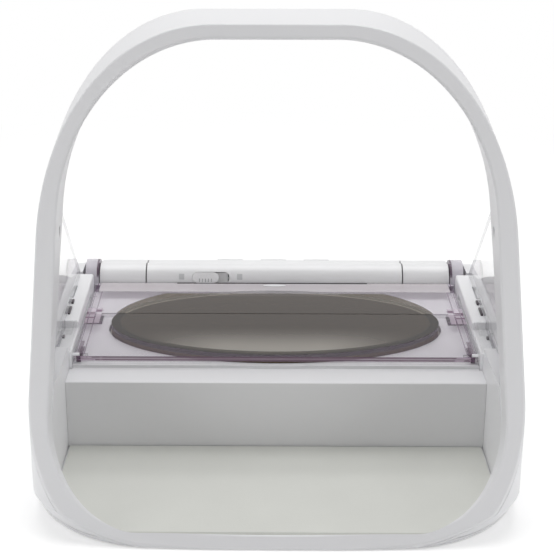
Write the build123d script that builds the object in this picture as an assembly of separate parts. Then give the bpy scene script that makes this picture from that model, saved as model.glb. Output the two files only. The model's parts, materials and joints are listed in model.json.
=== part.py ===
"""Microchip pet feeder: a leaning reader hoop, a bowl under a folding lid, and the drive that opens it.

Millimetres. X runs to the right, Y to the rear and Z up, with the origin on the ground under the
middle of the feeder. The front face of the hoop and base is one plane that leans back.
"""
from build123d import *
import math
import os

# ---- overall form
half_width = 115.0
front_y = -159.5
rear_y = 159.0
front_corner = 39.0
front_bow = 1060.0     # radius of the slight bow along the front edge
rear_corner = 40.0
underside_z = 0.6
lean = 0.70            # rearward run of the front face for each millimetre of height
wall = 2.5

# ---- hoop
hoop_top = 209.6
hoop_top_corner = 81.0        # outer corner radius above the feeder's middle
hoop_corner_tightening = 0.13  # what that radius loses for each millimetre to the rear
hoop_inner_half = 105.4
hoop_inner_top = 202.4
hoop_inner_top_corner = 75.0
hoop_inner_foot = 5.6
hoop_inner_foot_corner = 42.0
hoop_rear_y = -156.5   # rear plane of the hoop, where it would meet the ground
hoop_rear_lean = 0.90
hoop_seam_depth = 9.0  # thickness of the rear cover along Y
hoop_leg_z = 97.0      # where the rear cover's legs end on the side walls
hoop_skin = 2.2
coil_skin = 2.4        # from the hoop's faces to the coil, all round
coil_depth = 3.0
face_edge_radius = 1.2  # round on the edges of the leaning front face
rear_edge_radius = 1.5
groove_depth = 1.6     # from the front face to the groove round its lower corners
groove_width = 0.6
groove_cut = 0.5
groove_top_z = 50.0

# ---- lower front corners, drawn in towards the ground, and the seam above the underside tray
ground_corner = 60.0
undercut_top_z = 13.0
plate_z = 3.1          # top of the underside plate
seam_flat_half = 88.0
seam_rise = 11.0
seam_gap = 0.4
tray_setback = 4.0

# ---- feeding bay in front
bay_half = 104.0
bay_front_half = 105.0
bay_corner = 42.0
bay_front_y = -155.0
bay_widening_y = -112.0
floor_front_z = 4.5    # the bay's floor rises gently from the lip to the back wall
floor_rear_z = 9.0
mat_thick = 1.2
back_wall_y = -78.0
shelf_z = 57.0
side_skin = 2.5

# ---- deck
deck_half = 102.5
arm_front_y = -62.4    # front ends of the arm covers, where the bay's width ends
ledge_z = 45.0
ledge_rear_y = -58.6
deck_z = 46.5
deck_rear_y = 43.2
deck_thick = 2.5

# ---- lid linkage, all axes along X
lid_axis_y = 52.0
lid_axis_z = 50.0
fold_axis_y = -2.7
fold_axis_z = 44.5
guide_axis_y = 2 * fold_axis_y - lid_axis_y
lid_half = 102.0
lid_top_z = 50.5
lid_thick = 2.5
lid_rim = 4.0
lid_front_y = -59.4
lid_rear_y = 42.3
axle_radius = 2.5
guide_radius = 1.5
hinge_pin_radius = 1.2
running_gap = 0.05
knuckle_radius = 2.5

# ---- oval window, seal and bowl
oval_y = -13.0
oval_half_x = 87.3
oval_half_y = 44.0
seal_width = 4.0
seal_bottom_z = 44.5
bowl_rim_z = 44.2
bowl_floor_z = 7.5

# ---- bar over the lid axis
bar_radius = 8.75
bar_inner_radius = 6.5
bar_half = 99.8
bar_seam_x = 73.3
lug_radius = 11.0
lug_inner_x = 100.3
lug_outer_x = 107.8

# ---- delay slider in the bar
slider_angle = 22.0    # above the horizontal, facing forwards
slot_low_x = -47.0
slot_high_x = -25.6
slot_height = 6.6
slider_travel = 6.0

# ---- gear drive
gear_module = 1.0
lid_gear_teeth = 20
pinion_teeth = 12
pressure_angle = 25.0
mesh_angle = -65.0     # direction from the lid axis to the pinion, in the side view
gear_low_x = 30.0
gear_width = 6.0
motor_radius = 10.0

# ---- rear roof, which falls to the back
roof_front_y = 66.0
roof_front_z = 53.5
roof_rear_z = 21.0
roof_skin = 2.7
roof_fall = (roof_front_z - roof_rear_z) / (rear_y - roof_front_y)
roof_angle = math.degrees(math.atan(roof_fall))
button_y = 122.0
button_spacing = 27.0
button_travel = 1.5

# ---- batteries
cell_radius = 13.1
cell_length = 50.0
bay_low_x = 41.5
bay_high_x = 95.0
bay_low_y = 42.0
bay_high_y = 97.0
bay_top_z = 31.5
cell_floor_z = 4.2

# ---- fixings and feet
foot_radius = 8.0
foot_places = [(-50, -118), (50, -118), (-30, 140), (30, 140)]
deck_screws = [(-72, -66), (72, -66), (-62, 34), (62, 34)]
roof_screws = [(-72, 142), (72, 142)]
boss_radius = 4.0
screw_radius = 1.3

far = 400.0


# ---------------------------------------------------------------- drawing helpers
def side_prism(points, low_x, high_x):
    """Solid with a polygon of (y, z) points as its side view."""
    face = make_face(Polyline(*points, close=True))
    return Pos(low_x, 0, 0) * extrude(Plane.YZ * face, amount=high_x - low_x)


def front_prism(face, low_y, high_y):
    """Solid with a face drawn in (x, z) as its front view."""
    return Pos(0, high_y, 0) * extrude(Plane.XZ * face, amount=high_y - low_y)


def plan_prism(face, low_z, high_z):
    """Solid with a face drawn in (x, y) as its plan."""
    return Pos(0, 0, low_z) * extrude(face, amount=high_z - low_z)


def block(low_x, high_x, low_y, high_y, low_z, high_z):
    """Box between two corners."""
    middle = Pos((low_x + high_x) / 2, (low_y + high_y) / 2, (low_z + high_z) / 2)
    return middle * Box(high_x - low_x, high_y - low_y, high_z - low_z)


def rod(radius, low_x, high_x, y, z):
    """Cylinder along X."""
    middle = Pos((low_x + high_x) / 2, y, z)
    return middle * Rot(0, 90, 0) * Cylinder(radius, high_x - low_x)


def post(radius, x, y, low_z, high_z):
    """Cylinder along Z."""
    return Pos(x, y, (low_z + high_z) / 2) * Cylinder(radius, high_z - low_z)


def both_sides(piece):
    """The piece and its mirror image in the middle plane."""
    return piece + mirror(piece, about=Plane.YZ)


def mirrored(piece):
    return mirror(piece, about=Plane.YZ)


def behind_front_plane(offset):
    """Everything behind a plane parallel to the leaning front face."""
    low, high = -20.0, 300.0
    start = front_y + offset
    return side_prism(
        [(start + lean * low, low), (far, low), (far, high), (start + lean * high, high)],
        -half_width - 20, half_width + 20,
    )


def ahead_of_rear_plane(offset):
    """Everything in front of a plane parallel to the hoop's rear face."""
    low, high = -20.0, 300.0
    start = hoop_rear_y + offset
    return side_prism(
        [(start + hoop_rear_lean * low, low), (start + hoop_rear_lean * high, high), (-far, high), (-far, low)],
        -half_width - 20, half_width + 20,
    )


# ---------------------------------------------------------------- outlines
def bowed_rectangle(half, low, high):
    """Rectangle whose lower edge is a shallow arc that bulges outwards in the middle."""
    sag = front_bow - math.sqrt(front_bow ** 2 - half ** 2)
    bow = ThreePointArc((-half, low + sag), (0, low), (half, low + sag))
    rest = Polyline((half, low + sag), (half, high), (-half, high), (-half, low + sag))
    return make_face(Wire([bow.edge(), *rest.edges()]))


def plan_outline(inset, corner=front_corner):
    """Plan of the base with its bowed front and its front corner radius, drawn in by an inset."""
    face = bowed_rectangle(half_width - inset, front_y + inset, rear_y - inset)
    face = fillet(face.vertices().group_by(Axis.Y)[0], corner - inset)
    return fillet(face.vertices().group_by(Axis.Y)[-1], rear_corner - inset)


def bay_outline(grow):
    """Plan of the feeding bay, which narrows a little towards its back wall."""
    wide = bay_front_half + grow
    narrow = bay_half + grow
    front = bay_front_y - grow
    points = [
        (-wide, front), (wide, front), (wide, bay_widening_y),
        (narrow, back_wall_y), (-narrow, back_wall_y), (-wide, bay_widening_y),
    ]
    face = make_face(Polyline(*points, close=True))
    return fillet(face.vertices().group_by(Axis.Y)[0], bay_corner + grow)


def arch_outline(half, top, top_corner, foot):
    """Front view of the hoop: an upright rectangle with rounded top corners."""
    face = Pos(0, (top + foot) / 2) * Rectangle(2 * half, top - foot)
    return fillet(face.vertices().group_by(Axis.Y)[-1], top_corner)


def opening_outline():
    """Front view of the opening in the front face, rounded in all its corners, with a bowed foot."""
    face = bowed_rectangle(hoop_inner_half, hoop_inner_foot, hoop_inner_top)
    face = fillet(face.vertices().group_by(Axis.Y)[-1], hoop_inner_top_corner)
    return fillet(face.vertices().group_by(Axis.Y)[0], hoop_inner_foot_corner)


def above_floor(lift):
    """Everything above the sloping floor of the feeding bay, raised by a lift."""
    rise = (floor_rear_z - floor_front_z) / (back_wall_y - bay_front_y)
    low, high = front_y - 20, back_wall_y + deck_thick
    return side_prism(
        [
            (low, floor_front_z + lift + rise * (low - bay_front_y)),
            (high, floor_front_z + lift + rise * (high - bay_front_y)), (high, 120), (low, 120),
        ],
        -half_width, half_width,
    )


def below_seam(lift):
    """Front view of the room under the seam, which climbs towards the sides in a quarter ellipse."""
    reach = half_width + 1 - seam_flat_half
    level = plate_z + lift
    face = Pos(0, level - 10) * Rectangle(2 * half_width + 2, 20)
    for side in (-1, 1):
        middle = side * (seam_flat_half + reach / 2)
        corner = Pos(middle, level + seam_rise / 2) * Rectangle(reach, seam_rise)
        corner -= Pos(side * seam_flat_half, level + seam_rise) * Ellipse(reach, seam_rise)
        face += corner
    return face


def oval(grow):
    """The window's oval in plan, grown all round."""
    return Pos(0, oval_y) * Ellipse(oval_half_x + grow, oval_half_y + grow)


def side_profile():
    """Side view of the base: low at the back, rising to the hoop in a soft curve."""
    hoop_join_z = 95.0
    hoop_join_y = hoop_rear_y + hoop_rear_lean * hoop_join_z
    shoulder = (54, 56.8)
    roof_start = (roof_front_y + 8, roof_front_z - 8 * roof_fall)
    crest = Spline(
        (hoop_join_y, hoop_join_z), (-22, 80), (0, 71), (23, 61.5), (38, 58.2), shoulder,
    )
    back = Spline(shoulder, roof_start, tangents=[(1, -0.06), (1, -roof_fall)])
    rest = Polyline(
        roof_start, (rear_y + 5, roof_rear_z - 5 * roof_fall), (rear_y + 5, -5),
        (front_y - 5, -5), (front_y - 5, hoop_join_z), (hoop_join_y, hoop_join_z),
    )
    return make_face(Wire([*crest.edges(), *back.edges(), *rest.edges()]))


# ---------------------------------------------------------------- housing
def base_sides(inset):
    """Upright sides of the base, drawn in by an inset, with the lower front corners drawn in too."""
    sunk_z = -4.0
    growth = (ground_corner - front_corner) / (undercut_top_z - underside_z)
    ground = Pos(0, 0, sunk_z) * plan_outline(inset, ground_corner + growth * (underside_z - sunk_z))
    waist = Pos(0, 0, undercut_top_z) * plan_outline(inset)
    return loft([ground, waist], ruled=True) + plan_prism(plan_outline(inset), undercut_top_z, 110)


def base_block():
    """Solid outer form of the base, carried on below the underside and not yet hollowed."""
    across = Pos(-half_width - 5, 0, 0) * extrude(Plane.YZ * side_profile(), amount=2 * half_width + 10)
    return base_sides(0) & across & behind_front_plane(0)


def hoop_ring(outer_inset, inner_grow, low_z):
    """Ring between the hoop's two outlines, thinned from both sides, above a height."""
    ends = []
    for y in (front_y - 10, 60):
        corner = hoop_top_corner - hoop_corner_tightening * y
        outline = arch_outline(
            half_width - outer_inset, hoop_top - outer_inset, corner - outer_inset, low_z,
        )
        ends.append(Pos(0, y, 0) * (Plane.XZ * outline))
    inner = arch_outline(
        hoop_inner_half + inner_grow, hoop_inner_top + inner_grow,
        hoop_inner_top_corner + inner_grow, low_z - 5,
    )
    return loft(ends, ruled=True) - front_prism(inner, front_y - 15, 65)


def make_housing():
    """White upper housing: base walls, front face, feeding bay floor and the front of the hoop."""
    hoop = hoop_ring(0, 0, 50) & behind_front_plane(0) & ahead_of_rear_plane(0)
    form = base_block() + (hoop & plan_prism(plan_outline(0), 0, 300))
    # the opening through the front face, whose edges are rounded all the way round
    form -= front_prism(opening_outline(), front_y - 10, 60) & ahead_of_rear_plane(0.5)
    facing = Axis((0, 0, 0), (0, -1, lean))
    form = fillet(form.faces().filter_by(facing).sort_by(SortBy.AREA)[-1].edges(), face_edge_radius)
    form -= block(-130, 130, -200, 200, -10, underside_z)
    # the rear of the hoop, above the side walls, is a cover of its own
    form -= block(-130, 130, -200, 100, hoop_leg_z, 260) - ahead_of_rear_plane(-hoop_seam_depth)
    # groove that sets the front face off from the lower corners
    groove = behind_front_plane(groove_depth) - behind_front_plane(groove_depth + groove_width)
    groove = groove & block(-130, 130, -200, 0, -1, groove_top_z)
    form -= groove - base_sides(groove_cut)
    # feeding bay and the room over the deck
    form -= plan_prism(bay_outline(0), 0, 120) & above_floor(0) & behind_front_plane(-5)
    form -= block(-bay_half, bay_half, back_wall_y - 1, arm_front_y, 0, 120) & above_floor(0)
    room_front_y = back_wall_y + deck_thick - 0.1
    form -= block(-bay_half, bay_half, room_front_y, arm_front_y, plate_z, 120)
    form -= block(-deck_half, deck_half, room_front_y, deck_rear_y, plate_z, 120)
    # shelf over the side walls, then the pocket for each arm cover
    shelf_half = half_width - side_skin
    form -= block(-shelf_half, shelf_half, -160, 41, shelf_z, 120) - ahead_of_rear_plane(0)
    for side in (-1, 1):
        low, high = sorted((side * (deck_half - 1), side * (shelf_half - 0.1)))
        form -= block(low, high, arm_front_y, 41, ledge_z - 1, 120)
    # trough for the bar and the lid's end lugs
    trough_half = lug_outer_x + 1.5
    form -= block(-trough_half, trough_half, 38.4, 64.6, 36, 120)
    # the underside tray is a piece of its own
    inner_plan = plan_outline(wall, ground_corner)
    tray_room = front_prism(below_seam(seam_gap), front_y - 5, rear_y + 5)
    tray_room = tray_room - plan_prism(inner_plan, plate_z + 0.1, 60)
    form -= tray_room & behind_front_plane(tray_setback)
    # hollow of the rear compartment
    rear_room = side_prism(
        [
            (room_front_y, 0), (room_front_y, 41.5), (38.4, 41.5), (38.4, 53.8), (54, 53.8),
            (roof_front_y, roof_front_z - roof_skin), (rear_y, roof_rear_z - roof_skin), (rear_y, 0),
        ],
        -half_width, half_width,
    )
    form -= plan_prism(inner_plan, 0, 60) & rear_room
    # hollow of the side walls beside the feeding bay
    side_room = plan_prism(inner_plan - bay_outline(wall), 0, shelf_z - wall)
    side_room = side_room & block(-130, 130, -170, back_wall_y + 0.01, 0, 60)
    form -= side_room & behind_front_plane(5.0)
    # channel for the reader coil
    channel = hoop_ring(hoop_skin, hoop_skin, shelf_z - wall - 1) & behind_front_plane(3.0)
    form -= channel & ahead_of_rear_plane(-hoop_skin) & block(-130, 130, -200, 100, 0, hoop_leg_z)
    form -= channel & ahead_of_rear_plane(-hoop_seam_depth + 0.02) & block(-130, 130, -200, 100, hoop_leg_z, 260)
    # screw bosses and button holes in the roof
    for x, y in roof_screws:
        roof_here = roof_front_z - (y - roof_front_y) * roof_fall
        form += post(boss_radius, x, y, 4.5, roof_here - 1.5)
        form -= post(screw_radius + 0.05, x, y, 3, 16)
    for x in button_x:
        form -= on_roof(x, button_y) * Pos(0, 0, -2) * rounded_block(16.6, 9.6, 2.2, 8)
    return form


# ---------------------------------------------------------------- small helpers for the roof
button_x = (-button_spacing, 0.0, button_spacing)


def on_roof(x, y):
    """Place on the roof's outer face, with the local Z square to it."""
    z = roof_front_z - (y - roof_front_y) * roof_fall
    return Pos(x, y, z) * Rot(-roof_angle, 0, 0)


def rounded_block(length, width, corner, height):
    """Block with rounded upright corners, centred on the origin."""
    return Pos(0, 0, -height / 2) * extrude(RectangleRounded(length, width, corner), amount=height)


# ---------------------------------------------------------------- pieces of the shell
def make_hoop_back_cover():
    """Rear half of the hoop above the side walls, with the coil's channel open to the front."""
    ring = hoop_ring(0, 0, hoop_leg_z + 0.3) & ahead_of_rear_plane(0)
    ring = ring - ahead_of_rear_plane(-hoop_seam_depth + 0.15)
    rearward = Axis((0, 0, 0), (0, 1, -hoop_rear_lean))
    rear_edges = ring.faces().filter_by(rearward).sort_by(rearward)[-1].edges()
    ring = fillet(rear_edges.filter_by_position(Axis.Z, hoop_leg_z + 0.4, 300), rear_edge_radius)
    channel = hoop_ring(hoop_skin, hoop_skin, hoop_leg_z - 5)
    return ring - (channel & ahead_of_rear_plane(-hoop_skin))


def make_antenna_coil():
    """Wound reader coil, a flat bundle that follows the hoop from foot to foot."""
    ring = hoop_ring(coil_skin, coil_skin, shelf_z - wall)
    start = coil_skin + hoop_skin
    return (ring & behind_front_plane(start)) - behind_front_plane(start + coil_depth)


def make_bottom_cover():
    """Underside pan with battery bays, feet pockets and screw holes."""
    inner_plan = plan_outline(wall, ground_corner)
    form = base_block() & front_prism(below_seam(0), front_y - 5, rear_y + 5)
    form = form - block(-130, 130, -200, 200, -10, underside_z) - plan_prism(inner_plan, plate_z, 60)
    form = form & behind_front_plane(tray_setback + seam_gap)
    for side in (-1, 1):
        low, high = sorted((side * bay_low_x, side * bay_high_x))
        form += block(low - 1.6, high + 1.6, bay_low_y - 1.6, bay_high_y + 1.6, 2.0, bay_top_z + 1.6)
        form -= block(low, high, bay_low_y, bay_high_y, -1, bay_top_z)
    for x, y in foot_places:
        form -= post(foot_radius + 0.1, x, y, -1, 1.8)
    for x, y in deck_screws + roof_screws:
        form += post(boss_radius, x, y, 2.0, 4.4)
        form -= post(screw_radius + 0.3, x, y, 0, 10)
        form -= post(2.9, x, y, 0, 2.6)
    return form


def make_battery_cover(side):
    """Door over one battery bay, flush with the underside, with a thumb recess at its front edge."""
    low, high = sorted((side * (bay_low_x + 0.3), side * (bay_high_x - 0.3)))
    form = block(low, high, bay_low_y + 0.3, bay_high_y - 0.3, underside_z, plate_z)
    middle = (low + high) / 2
    thumb = Pos(middle, bay_low_y + 9, underside_z) * Rot(0, 90, 0) * Cylinder(1.6, 18)
    return form - thumb


def make_wing(side):
    """Clear side shield with its clip tab and the foot on the front of the arm cover."""
    rear_of_hoop = hoop_rear_y + hoop_rear_lean * 58.0 + 0.6
    top_y = -38.0
    top_z = (top_y - 0.6 - hoop_rear_y) / hoop_rear_lean
    plate = side_prism(
        [(rear_of_hoop, 58.0), (top_y, top_z), (34.5, 61.0), (35.5, 58.0)], 109.6, 111.3,
    )
    crest = plate.edges().filter_by(Axis.X).sort_by(Axis.Z)[-1]
    plate = fillet(crest, 3.0)
    plate += block(109.6, 111.3, 3, 18, 55.2, 58.5)
    plate += block(103.2, 111.3, -45, -31.2, 54.0, 58.4)
    plate -= block(104.6, 109.6, -43.6, -32.6, 55.4, 60)
    plate += block(103.2, 111.3, -61.5, -44.9, 54.0, 55.4)
    return plate if side > 0 else mirrored(plate)


def make_arm_cover(side):
    """White cover beside the lid, with the groove that the lid's guide pin slides in."""
    low_part = block(deck_half + 0.1, half_width - side_skin - 0.2, arm_front_y + 0.2, 40.8, ledge_z - 0.9, 53.9)
    high_part = block(deck_half + 0.1, half_width - side_skin - 0.2, -30.8, 37.8, 53, 57.6)
    form = low_part + high_part
    form = fillet(form.edges().filter_by(Axis.Y).sort_by(Axis.Z)[-2:], 1.2)
    groove = block(100, 106.2, guide_axis_y - 2.4, 24, lid_axis_z - 1.7, lid_axis_z + 1.7)
    form -= groove
    form -= block(109.2, 111.7, 2, 20, 55, 60)
    form -= block(100, 108.6, 38, 42, 38, 60)
    return form if side > 0 else mirrored(form)


def make_bowl_deck():
    """White moulding behind the bay: upright wall, ledge, and the deck round the bowl."""
    wide = bay_half - 0.1
    half = deck_half - 0.1
    form = block(-wide, wide, back_wall_y, back_wall_y + deck_thick, 0, ledge_z) & above_floor(0.05)
    form += block(-wide, wide, back_wall_y, arm_front_y - 0.2, ledge_z - deck_thick, ledge_z)
    form += block(-half, half, arm_front_y - 1, ledge_rear_y, ledge_z - deck_thick, ledge_z)
    form += block(-half, half, ledge_rear_y - deck_thick, deck_rear_y - 0.2, deck_z - deck_thick, deck_z)
    lip = form.edges().filter_by(Axis.X).group_by(Axis.Y)[0].sort_by(Axis.Z)[-1]
    form = fillet(lip, 1.0)
    form += plan_prism(oval(4.8), 39.8, deck_z)
    form -= plan_prism(oval(1.4), bowl_rim_z - 1.8, 60)
    form -= plan_prism(oval(-3.0), 30, 60)
    for side in (-1, 1):
        low, high = sorted((side * 93.2, side * 104))
        form += block(*sorted((side * 91.6, side * half)), fold_axis_y - 8, fold_axis_y + 8, 39.4, deck_z)
        form -= block(low, high, fold_axis_y - 6, fold_axis_y + 6, 41.2, 60)
    form -= block(-56.5, 54, 41.0, 50, 30, 60)
    form -= both_sides(block(99.9, 120, 39.0, 60, 30, 60))
    for x, y in deck_screws:
        form += post(boss_radius, x, y, 4.5, deck_z - deck_thick + 0.5)
        form -= post(screw_radius + 0.05, x, y, 3, 16)
    return form


def make_bowl():
    """Removable oval bowl with a turned rim, resting in the deck."""
    rim = plan_prism(oval(1.0), bowl_rim_z - 1.6, bowl_rim_z)
    outer = loft([Pos(0, 0, bowl_rim_z - 0.2) * oval(-4.0), Pos(0, 0, bowl_floor_z) * oval(-17.0)])
    inner = loft([Pos(0, 0, bowl_rim_z + 0.5) * oval(-5.6), Pos(0, 0, bowl_floor_z + 1.8) * oval(-19.0)])
    form = rim + outer - inner
    return form


def make_mat():
    """Thin mat on the bay floor, with a narrow margin of floor round it."""
    form = (plan_prism(bay_outline(-1.0), 0, 40) & above_floor(0.02)) - above_floor(mat_thick)
    return form & block(-130, 130, -200, back_wall_y - 0.6, 0, 20) & behind_front_plane(2.5)


def make_feet():
    """Round rubber feet."""
    feet = [post(foot_radius, x, y, 0, 1.75) for x, y in foot_places]
    return Compound(feet)


def make_screws():
    """Pan-head screws that hold the underside pan to the deck and the roof."""
    screws = []
    for x, y in deck_screws + roof_screws:
        screw = post(screw_radius, x, y, 2.5, 14) + post(2.6, x, y, 1.2, 2.55)
        screws.append(screw - block(x - 1.8, x + 1.8, y - 0.35, y + 0.35, 1.0, 1.8))
    return Compound(screws)


# ---------------------------------------------------------------- bar and slider
def bar_section(low_x, high_x, hollow):
    """Length of the bar with its rear skirt: a tube that stands on the housing."""
    form = rod(bar_radius, low_x, high_x, lid_axis_y, lid_axis_z)
    form += block(low_x, high_x, lid_axis_y, 64.4, 44.8, 56.6)
    form -= block(low_x - 1, high_x + 1, 40, 70, 30, 44.8)
    if hollow:
        form -= rod(bar_inner_radius, low_x - 1, high_x + 1, lid_axis_y, lid_axis_z)
        form -= block(low_x - 1, high_x + 1, lid_axis_y, 62.4, 40, 54.4)
        form -= block(low_x - 1, high_x + 1, 47, 60, 40, 46)
    return form


def on_bar(x, radius):
    """Place on the bar's surface at the slider, with the local Z pointing out of it."""
    tilt = 90 - slider_angle
    return Pos(x, lid_axis_y, lid_axis_z) * Rot(tilt, 0, 0) * Pos(0, 0, radius)


def make_bar_cover():
    """Middle of the bar, with the slot for the delay slider and the room for the gear."""
    form = bar_section(-bar_seam_x + 0.15, bar_seam_x - 0.15, True)
    middle = (slot_low_x + slot_high_x) / 2
    slot = on_bar(middle, bar_radius) * rounded_block(slot_high_x - slot_low_x, slot_height, 3.2, 10)
    form -= slot
    gear_room = rod(lid_gear_tip + 0.6, gear_low_x - 1, gear_low_x + gear_width + 1, lid_axis_y, lid_axis_z)
    form -= gear_room & block(0, 60, 30, lid_axis_y, 30, 47.6)
    return form - (gear_room & block(0, 60, lid_axis_y, 63.2, 30, 54.4))


def make_bar_end(side):
    """End of the bar with the seat of the axle bushing."""
    form = bar_section(bar_seam_x + 0.15, bar_half, True)
    form += bar_section(bar_half - 2.4, bar_half, False)
    form += rod(6.2, 89, bar_half - 1, lid_axis_y, lid_axis_z)
    form -= rod(4.5, 80, 110, lid_axis_y, lid_axis_z)
    return form if side > 0 else mirrored(form)


def make_bushing(side):
    """Plain bushing for the lid axle."""
    form = rod(4.48, 90, bar_half, lid_axis_y, lid_axis_z)
    form -= rod(axle_radius + running_gap, 80, 110, lid_axis_y, lid_axis_z)
    return form if side > 0 else mirrored(form)


def make_slider():
    """Ridged thumb of the close-delay switch, curved like the bar."""
    length = slot_high_x - slot_low_x - slider_travel - 0.4
    middle = slot_low_x + 0.2 + length / 2
    form = on_bar(middle, bar_radius) * rounded_block(length, slot_height - 0.5, 2.9, 8)
    form = form & rod(bar_radius + 0.7, slot_low_x, slot_high_x, lid_axis_y, lid_axis_z)
    form -= rod(bar_inner_radius + 0.35, -60, 0, lid_axis_y, lid_axis_z)
    ridges = 6
    pitch = 1.7
    for step in range(ridges):
        x = middle + (step - (ridges - 1) / 2) * pitch
        form -= on_bar(x, bar_radius + 0.75) * Box(0.7, 5.0, 0.9)
    return form + on_bar(middle, bar_inner_radius + 0.1) * Box(3, 2, 1.2)


def make_slide_switch():
    """Small slide switch body under the thumb."""
    length = slot_high_x - slot_low_x
    middle = (slot_low_x + slot_high_x) / 2
    return on_bar(middle, 4.3) * Box(length - 2, 6.0, 2.4)


# ---------------------------------------------------------------- lid
def make_lid_half(front):
    """One clear half of the lid: a thin panel with a thicker rim and half of the oval opening."""
    split = 0.25
    low_y, high_y = (lid_front_y, fold_axis_y - split) if front else (fold_axis_y + split, lid_rear_y)
    top = lid_top_z
    rim_bottom = top - lid_thick - 0.6
    panel = block(-lid_half, lid_half, low_y, high_y, rim_bottom, top)
    panel -= block(-lid_half + lid_rim, lid_half - lid_rim, low_y + (3.0 if front else 0), high_y - (0 if front else 3.0),
                   rim_bottom - 1, top - lid_thick)
    panel -= plan_prism(oval(0.1), 40, 60)
    return panel


def knuckle(low_x, high_x, forward):
    """Hinge knuckle that hangs from a lid half and wraps the fold pin."""
    form = rod(knuckle_radius, low_x, high_x, fold_axis_y, fold_axis_z)
    reach = -7.0 if forward else 7.0
    near = fold_axis_y + (-0.3 if forward else 0.3)
    arm = side_prism(
        [
            (near, fold_axis_z + 1.0), (near, lid_top_z - 1.0),
            (fold_axis_y + reach, lid_top_z - 1.0), (fold_axis_y + reach, lid_top_z - 3.0),
            (fold_axis_y + (-1.8 if forward else 1.8), fold_axis_z - 1.6),
        ],
        low_x, high_x,
    )
    return form + arm


def make_lid_rear():
    """Rear half of the clear lid with its end lugs on the axle."""
    form = make_lid_half(False)
    form -= block(-56.5, 54, 41.7, 45, 40, 60)
    for side in (-1, 1):
        low, high = sorted((side * 98.2, side * 101.8))
        form += knuckle(low, high, False)
        form -= rod(hinge_pin_radius + 0.01, *sorted((side * 90, side * 103)), fold_axis_y, fold_axis_z)
        lug = rod(lug_radius, *sorted((side * lug_inner_x, side * lug_outer_x)), lid_axis_y, lid_axis_z)
        web = block(*sorted((side * lug_inner_x, side * lid_half)), 30, lid_axis_y, 46.8, lid_top_z)
        hollow = rod(lug_radius - 1.6, *sorted((side * (lug_inner_x + 2.4), side * 112)), lid_axis_y, lid_axis_z)
        boss = rod(4.2, *sorted((side * lug_inner_x, side * (lug_outer_x - 1))), lid_axis_y, lid_axis_z)
        form += lug + web
        form = form - hollow + boss
        form -= rod(axle_radius + 0.02, *sorted((side * 95, side * 112)), lid_axis_y, lid_axis_z)
    return form


def make_lid_front():
    """Front half of the clear lid with the guide shoes at its corners."""
    form = make_lid_half(True)
    for side in (-1, 1):
        low, high = sorted((side * 94.0, side * 97.8))
        form += knuckle(low, high, True)
        form -= rod(hinge_pin_radius + running_gap, *sorted((side * 90, side * 103)), fold_axis_y, fold_axis_z)
        shoe = block(*sorted((side * 99.0, side * lid_half)), lid_front_y, -44, 47.4, lid_top_z)
        form += shoe
        form -= rod(guide_radius + 0.01, *sorted((side * 95, side * 103)), guide_axis_y, lid_axis_z - 0.01)
    return form


def make_seal(front):
    """Half of the rubber seal under the lid."""
    return plan_prism(seal_half(front), seal_bottom_z, lid_top_z - 1.6)


def seal_half(front):
    """Plan of one half seal: the oval band with a strip along the fold."""
    strip = 1.8
    gap = 0.3
    far_y = 80.0
    if front:
        outer_cut = Pos(0, fold_axis_y - gap - far_y / 2) * Rectangle(240, far_y)
        inner_cut = Pos(0, fold_axis_y - gap - strip - far_y / 2) * Rectangle(240, far_y)
    else:
        outer_cut = Pos(0, fold_axis_y + gap + far_y / 2) * Rectangle(240, far_y)
        inner_cut = Pos(0, fold_axis_y + gap + strip + far_y / 2) * Rectangle(240, far_y)
    return (oval(0) & outer_cut) - (oval(-seal_width) & inner_cut)


def window_half(front, grow):
    """Plan of one half of the smoky window."""
    gap = 0.3
    far_y = 80.0
    middle = fold_axis_y - gap - far_y / 2 if front else fold_axis_y + gap + far_y / 2
    return oval(grow) & (Pos(0, middle) * Rectangle(240, far_y))


def make_window(front):
    """Half of the smoky window plate that closes the oval."""
    return plan_prism(window_half(front, 0), lid_top_z - 1.55, lid_top_z)


def make_fold_pins():
    """Pins of the fold hinge, fixed in the rear half's knuckles."""
    pins = [rod(hinge_pin_radius, *sorted((side * 94, side * 101.8)), fold_axis_y, fold_axis_z) for side in (-1, 1)]
    return Compound(pins)


def make_guide_pins():
    """Pins that slide in the grooves of the arm covers."""
    pins = [rod(guide_radius, *sorted((side * 99.2, side * 105.6)), guide_axis_y, lid_axis_z) for side in (-1, 1)]
    return Compound(pins)


# ---------------------------------------------------------------- gears
def involute(angle):
    return math.tan(angle) - angle


def gear_face(teeth, first_tooth_angle):
    """Spur gear outline with involute flanks, first tooth centred on an angle in degrees."""
    pitch = gear_module * teeth / 2
    base = pitch * math.cos(math.radians(pressure_angle))
    tip = pitch + 0.8 * gear_module
    root = pitch - 1.1 * gear_module
    half_tooth = (math.pi * gear_module / 2 - 0.22) / (2 * pitch)
    flank_radii = [max(root, base), (pitch + max(root, base)) / 2, pitch, (pitch + tip) / 2, tip]
    points = []
    for tooth in range(teeth):
        centre = math.radians(first_tooth_angle) + tooth * 2 * math.pi / teeth
        rising = [(root, half_tooth + involute(math.radians(pressure_angle)))] if root < base else []
        for radius in flank_radii:
            turn = half_tooth + involute(math.radians(pressure_angle)) - involute(math.acos(base / radius))
            rising.append((radius, turn))
        points += [(radius, centre - turn) for radius, turn in rising]
        points += [(radius, centre + turn) for radius, turn in reversed(rising)]
    return make_face(Polyline(*[(r * math.cos(a), r * math.sin(a)) for r, a in points], close=True))


lid_gear_tip = gear_module * (lid_gear_teeth / 2 + 0.8)
centre_distance = gear_module * (lid_gear_teeth + pinion_teeth) / 2 + 0.08
pinion_y = lid_axis_y + centre_distance * math.cos(math.radians(mesh_angle))
pinion_z = lid_axis_z + centre_distance * math.sin(math.radians(mesh_angle))


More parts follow.
